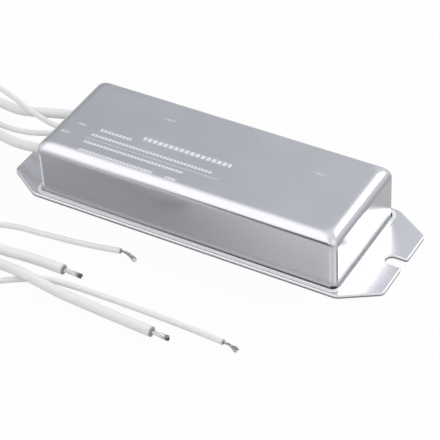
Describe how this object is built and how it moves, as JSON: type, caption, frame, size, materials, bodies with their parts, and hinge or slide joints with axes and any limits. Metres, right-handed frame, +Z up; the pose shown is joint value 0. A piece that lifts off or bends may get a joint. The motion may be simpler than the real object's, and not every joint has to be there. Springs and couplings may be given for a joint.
{
  "type": "aluminium housed power resistor",
  "caption": "Pressed aluminium case with open-slotted ears, potted around a ribbon-wound mica element and a thermal switch, with long insulated leads out of one end.",
  "frame": {"origin": "middle of the case on its mounting surface", "axes": "+X along the case, away from the end that the leads leave; +Z up, away from the mounting surface; +Y across the case"},
  "size_m": [0.2018, 0.0965, 0.02],
  "materials": {
    "case": "satin pressed sheet",
    "cement": "dull cement filling",
    "bush": "moulded silicone rubber",
    "mica": "pressed mica board",
    "resistance_alloy": "drawn resistance ribbon",
    "tinned_metal": "tinned copper",
    "insulating_sleeve": "braided glass sleeve",
    "switch_steel": "plated steel",
    "phenolic": "moulded phenolic",
    "bimetal": "rolled bimetal strip",
    "contact_silver": "silver contact",
    "power_insulation": "extruded silicone insulation",
    "switch_insulation": "extruded silicone insulation",
    "tie": "plastic strap"
  },
  "bodies": {
    "root": {"housing": "case", "potting": "cement", "lead_bush": "bush", "mica_card": "mica", "resistance_ribbon": "resistance_alloy", "mica_cover_upper": "mica", "mica_cover_lower": "mica", "terminal_1": "tinned_metal", "terminal_2": "tinned_metal", "terminal_eyelets": "tinned_metal", "power_splice_1": "tinned_metal", "power_splice_2": "tinned_metal", "splice_sleeve_1": "insulating_sleeve", "splice_sleeve_2": "insulating_sleeve", "switch_can": "switch_steel", "switch_plug": "phenolic", "switch_fixed_arm": "switch_steel", "switch_bimetal_arm": "bimetal", "switch_contact_fixed": "contact_silver", "switch_contact_moving": "contact_silver", "switch_sleeve": "insulating_sleeve", "power_tail_1": "power_insulation", "power_tail_2": "power_insulation", "switch_tail_1": "switch_insulation", "switch_tail_2": "switch_insulation", "power_inner_core_1": "tinned_metal", "power_inner_core_2": "tinned_metal", "switch_inner_core_1": "tinned_metal", "switch_inner_core_2": "tinned_metal", "power_lead_1_run": "power_insulation", "power_lead_2_run": "power_insulation", "switch_lead_1_run": "switch_insulation", "switch_lead_2_run": "switch_insulation", "power_lead_1_coil": "power_insulation", "power_lead_2_coil": "power_insulation", "switch_lead_1_coil": "switch_insulation", "switch_lead_2_coil": "switch_insulation", "power_lead_1_end": "power_insulation", "power_lead_2_end": "power_insulation", "switch_lead_1_end": "switch_insulation", "switch_lead_2_end": "switch_insulation", "power_core_1": "tinned_metal", "power_core_2": "tinned_metal", "switch_core_1": "tinned_metal", "switch_core_2": "tinned_metal", "power_coil_tie": "tie", "switch_coil_tie": "tie"}
  },
  "joints": []
}
